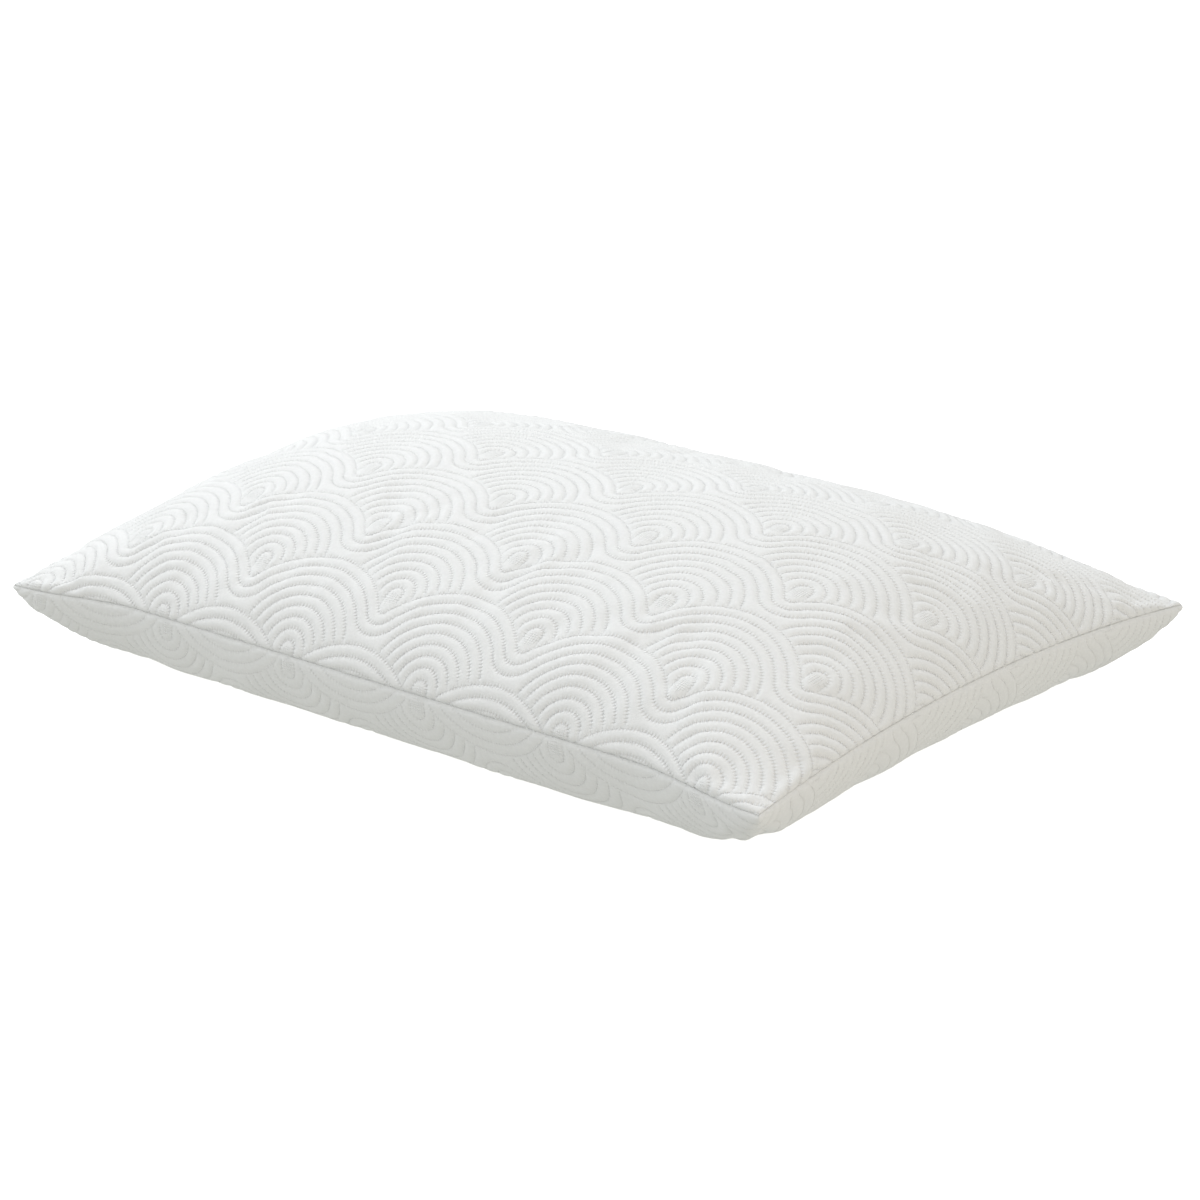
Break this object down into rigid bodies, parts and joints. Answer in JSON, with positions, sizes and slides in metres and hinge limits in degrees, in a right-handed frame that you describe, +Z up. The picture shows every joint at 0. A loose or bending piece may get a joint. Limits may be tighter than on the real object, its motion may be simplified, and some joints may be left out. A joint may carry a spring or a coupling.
{
  "type": "bed pillow",
  "caption": "Rectangular bed pillow: a quilted stretch-knit cover with a zip in its back seam, over a lined foam filling, that rests on its flat underside.",
  "frame": {"origin": "middle of the underside, on the surface that the pillow rests on", "axes": "+X along a long side, +Y towards the long side with the zip, +Z up out of the crown"},
  "size_m": [0.68, 0.505, 0.1501],
  "materials": {
    "knit": "white quilted stretch knit",
    "wadding": "white polyester fibre wadding",
    "backing": "thin white backing cloth",
    "zip_tape": "white woven polyester tape",
    "zip_coil": "white nylon coil",
    "zip_metal": "plated die-cast, satin",
    "label": "white satin ribbon, blank",
    "liner": "plain white cotton-blend cloth",
    "foam": "soft open-cell foam, off-white"
  },
  "bodies": {
    "pillow": {"cover_top_knit": "knit", "cover_top_wadding": "wadding", "cover_top_backing": "backing", "cover_bottom_knit": "knit", "cover_bottom_wadding": "wadding", "cover_bottom_backing": "backing", "cover_seam_edge": "backing", "zip_tape_upper": "zip_tape", "zip_tape_lower": "zip_tape", "zip_coil_upper": "zip_coil", "zip_coil_lower": "zip_coil", "zip_top_stop_upper": "zip_metal", "zip_top_stop_lower": "zip_metal", "zip_bottom_stop": "zip_metal", "care_label": "label", "liner_top_panel": "liner", "liner_bottom_panel": "liner", "liner_seam_edge": "liner", "foam_filling": "foam"},
    "slider": {"zip_slider": "zip_metal"},
    "puller": {"zip_puller": "zip_metal"}
  },
  "joints": [
    {"name": "zip_slide", "type": "slide", "parent": "pillow", "child": "slider", "axis": [1, 0, 0], "range_m": [-0.37, 0]},
    {"name": "puller_swing", "type": "hinge", "parent": "slider", "child": "puller", "pos_m": [0.1852, 0.24084, 0.057], "axis": [0, 0, -1], "range_deg": [0, 170]}
  ]
}
